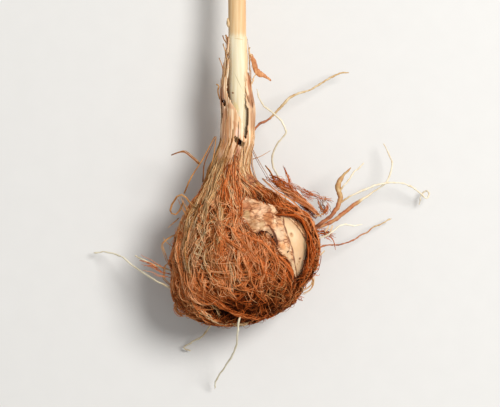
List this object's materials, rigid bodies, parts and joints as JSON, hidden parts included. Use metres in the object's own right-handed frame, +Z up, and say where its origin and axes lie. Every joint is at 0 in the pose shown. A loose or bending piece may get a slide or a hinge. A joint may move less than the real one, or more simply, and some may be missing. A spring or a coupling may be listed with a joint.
{
  "type": "corm with fibrous coat, stem base and roots",
  "caption": "Rounded plant corm in a rust-brown coat of netted fibres, torn open at one side, with a straw-coloured neck, the cut base of its stem and thin curling roots.",
  "frame": {"origin": "middle of the flat spot under the fibre coat that the corm rests on", "axes": "+Z up, +Y along the stem away from the corm, +X to the right as seen from above"},
  "size_m": [0.0533, 0.0682, 0.0203],
  "materials": {
    "fibre_coat": "dry matted fibre, dull",
    "papery_layer": "thin dry papery skin, faint sheen",
    "corm": "smooth cream flesh, satin",
    "stem": "smooth pale skin, satin",
    "pale_root": "thin dry root, matte",
    "brown_root": "dry woody root, matte"
  },
  "bodies": {
    "root": {"fibre_coat": "fibre_coat", "papery_layer": "papery_layer", "corm": "corm", "stem": "stem", "root_left": "pale_root", "root_left_short": "pale_root", "root_base": "pale_root", "root_base_left": "pale_root", "root_right_short": "pale_root", "root_right_low": "brown_root", "root_neck_pale": "pale_root", "root_neck_brown": "brown_root", "root_cluster": "brown_root"}
  },
  "joints": []
}
